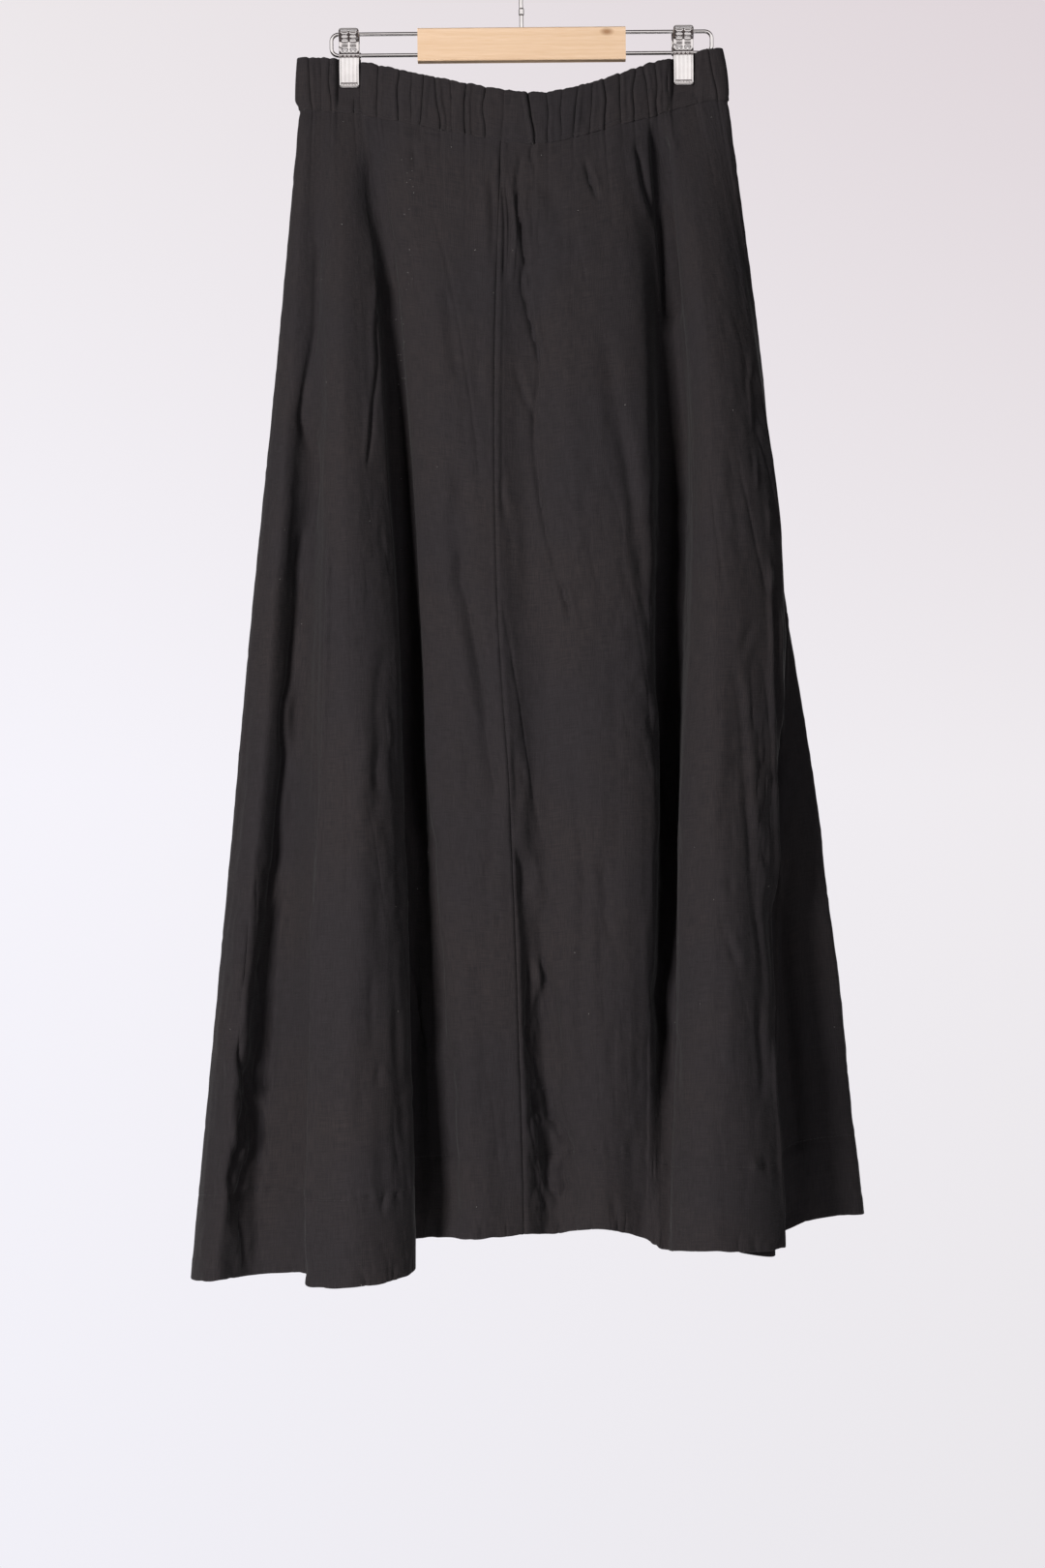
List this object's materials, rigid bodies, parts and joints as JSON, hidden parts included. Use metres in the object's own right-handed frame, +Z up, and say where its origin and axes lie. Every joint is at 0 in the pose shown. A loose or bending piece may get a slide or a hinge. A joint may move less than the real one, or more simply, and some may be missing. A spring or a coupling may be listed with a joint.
{
  "type": "maxi skirt on a clip hanger",
  "caption": "Long flared linen skirt with a gathered elastic waistband, hung flat by two metal clips on a hanger with a wooden bar and a wire hook.",
  "frame": {"origin": "inside the crown of the hook, where the rail carries the hanger", "axes": "+Z up, +X to the right seen from the front, and the front of the skirt faces -Y"},
  "size_m": [0.58, 0.1945, 1.1444],
  "materials": {
    "linen": "matt plain-woven linen, soft black",
    "wood": "pale, lightly lacquered",
    "chrome": "bright plated",
    "spring_steel": "plain wire"
  },
  "bodies": {
    "root": {"waistband": "linen", "front_left_panel": "linen", "front_right_panel": "linen", "back_left_panel": "linen", "back_right_panel": "linen", "hanger_bar": "wood", "hanger_hook": "chrome", "hanger_wire_left": "chrome", "hanger_wire_right": "chrome", "clip_left_front_jaw": "chrome", "clip_left_back_jaw": "chrome", "clip_left_spring": "spring_steel", "clip_right_front_jaw": "chrome", "clip_right_back_jaw": "chrome", "clip_right_spring": "spring_steel"}
  },
  "joints": []
}
